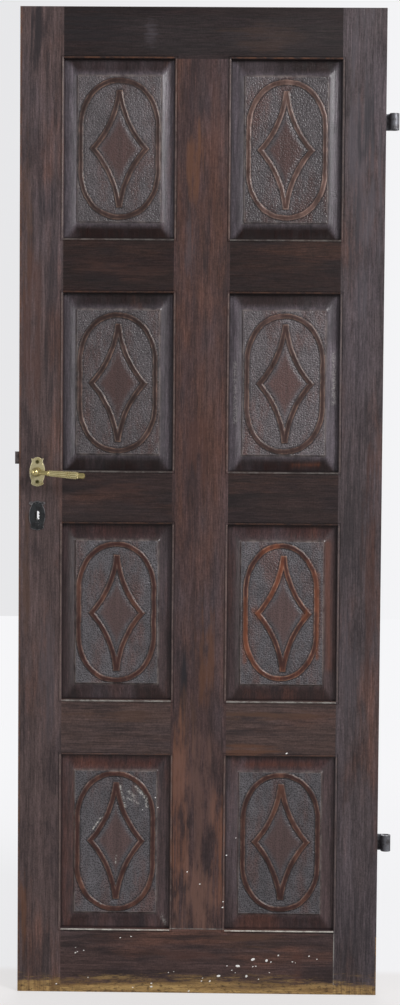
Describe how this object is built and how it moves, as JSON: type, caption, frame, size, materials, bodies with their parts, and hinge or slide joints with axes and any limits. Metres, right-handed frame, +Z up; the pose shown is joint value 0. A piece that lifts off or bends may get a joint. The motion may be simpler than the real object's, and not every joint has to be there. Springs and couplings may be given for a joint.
{
  "type": "carved temple door",
  "caption": "Carved wooden door leaf: stiles, rails and a muntin round carved panels, with a lever, a mortise lock and two hinge eyes.",
  "frame": {"origin": "on the hinge axis, halfway up the lower hinge eye", "axes": "+Z up along the hinge axis, front face towards -Y, and the leaf reaching from the hinge axis towards -X"},
  "size_m": [0.7747, 0.1412, 2],
  "materials": {
    "frame_wood": "worn satin stain",
    "panel_wood": "worn satin stain, punched ground",
    "lever_brass": "aged, rubbed bright",
    "dark_iron": "dull, aged",
    "lock_steel": "dull, aged"
  },
  "bodies": {
    "leaf": {"lock_stile": "frame_wood", "hinge_stile": "frame_wood", "top_rail": "frame_wood", "bottom_rail": "frame_wood", "muntin": "frame_wood", "cross_rail_1_left": "frame_wood", "cross_rail_1_right": "frame_wood", "cross_rail_2_left": "frame_wood", "cross_rail_2_right": "frame_wood", "cross_rail_3_left": "frame_wood", "cross_rail_3_right": "frame_wood", "panel_1_left": "panel_wood", "panel_1_right": "panel_wood", "panel_2_left": "panel_wood", "panel_2_right": "panel_wood", "panel_3_left": "panel_wood", "panel_3_right": "panel_wood", "panel_4_left": "panel_wood", "panel_4_right": "panel_wood", "lever_plate_front": "lever_brass", "lever_plate_back": "lever_brass", "lever_plate_screws": "lever_brass", "key_plate_front": "dark_iron", "key_plate_back": "dark_iron", "key_plate_screws": "dark_iron", "hinge_strap_lower": "dark_iron", "hinge_strap_upper": "dark_iron", "hinge_screws": "dark_iron", "forend": "lock_steel", "forend_screws": "lock_steel", "lock_case": "lock_steel", "lock_cover": "lock_steel", "lock_cover_screws": "lock_steel", "latch_spring": "lock_steel", "dead_bolt_spring": "lock_steel"},
    "lever": {"lever_front": "lever_brass", "lever_back": "lever_brass", "spindle": "lock_steel", "spindle_pin": "lock_steel", "follower": "lock_steel"},
    "latch": {"latch_bolt": "lock_steel"},
    "dead_bolt": {"dead_bolt": "lock_steel"}
  },
  "joints": [
    {"name": "lever_turn", "type": "hinge", "parent": "leaf", "child": "lever", "pos_m": [-0.7166, 0, 0.7585], "axis": [0, 1, 0], "range_deg": [0, 35], "stiffness_Nm_per_rad": 1.5, "springref_deg": -20.05},
    {"name": "latch_slide", "type": "slide", "parent": "leaf", "child": "latch", "axis": [1, 0, 0], "range_m": [0, 0.0107], "deforming": ["latch_spring"]},
    {"name": "dead_bolt_slide", "type": "slide", "parent": "leaf", "child": "dead_bolt", "axis": [-1, 0, 0], "range_m": [0, 0.016]}
  ],
  "couplings": [
    {"joint": "latch_slide", "follows": "lever_turn", "m_per_rad": 0.01751}
  ]
}
